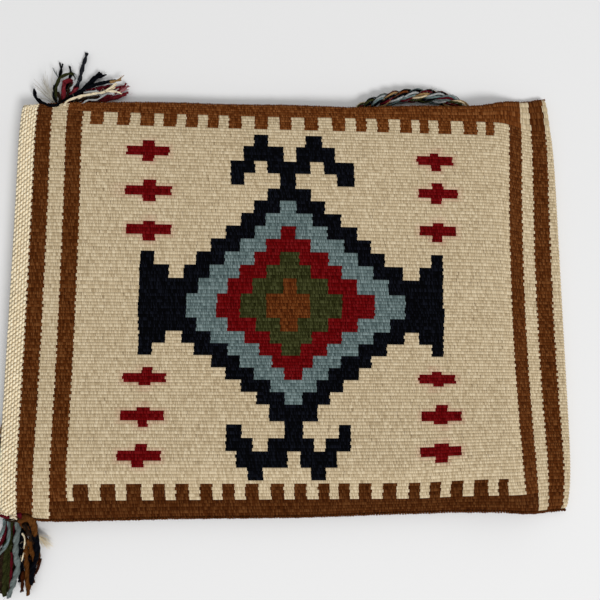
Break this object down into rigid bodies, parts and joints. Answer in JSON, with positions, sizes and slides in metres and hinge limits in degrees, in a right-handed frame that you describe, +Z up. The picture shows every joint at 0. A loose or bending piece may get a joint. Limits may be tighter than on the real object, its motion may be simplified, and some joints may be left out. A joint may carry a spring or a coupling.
{
  "type": "crossbody bag",
  "caption": "Flat handwoven wool crossbody bag, open at one end, with a stepped diamond medallion, crosses and toothed borders, and a thick twisted rope strap that ends in tassels.",
  "frame": {"origin": "on the table, below the middle of the folded panel with its side seams", "axes": "+X from the open mouth to the fold, +Y across the panel towards the side where the strap's short tassel lies, +Z up from the table through the patterned face"},
  "size_m": [0.3874, 0.3788, 0.0207],
  "materials": {
    "tapestry_wool": "matt woven wool, cream with brown, navy, blue, red, olive and rust",
    "brown_wool": "matt wool yarn",
    "rope_wool": "matt twisted wool of mixed colours",
    "binding_wool": "matt wool yarn, wound",
    "navy_wool": "matt wool yarn",
    "olive_wool": "matt wool yarn",
    "red_wool": "matt wool yarn",
    "cream_wool": "matt wool yarn",
    "blue_wool": "matt wool yarn",
    "rust_wool": "matt wool yarn"
  },
  "bodies": {
    "root": {"woven_body": "tapestry_wool", "upper_side_seam": "brown_wool", "lower_side_seam": "brown_wool", "strap_rope": "rope_wool", "upper_binding": "binding_wool", "lower_binding": "binding_wool", "upper_yarn_curl": "navy_wool", "upper_yarn_short": "navy_wool", "upper_yarn_middle": "navy_wool", "upper_yarn_long": "navy_wool", "upper_yarn_loop": "olive_wool", "upper_yarn_red_loop": "red_wool", "upper_yarn_right": "navy_wool", "upper_yarn_right_over": "navy_wool", "upper_yarn_red_right": "red_wool", "upper_yarn_cream": "cream_wool", "upper_yarn_maroon": "red_wool", "lower_yarn_blue": "blue_wool", "lower_yarn_blue_left": "blue_wool", "lower_yarn_blue_far": "blue_wool", "lower_yarn_maroon_left": "red_wool", "lower_yarn_olive": "olive_wool", "lower_yarn_olive_far": "olive_wool", "lower_yarn_maroon": "red_wool", "lower_yarn_navy_deep": "navy_wool", "lower_yarn_cream": "cream_wool", "lower_yarn_rust": "rust_wool", "lower_yarn_rust_long": "rust_wool", "lower_yarn_rust_bow": "rust_wool", "lower_yarn_navy": "navy_wool"}
  },
  "joints": []
}
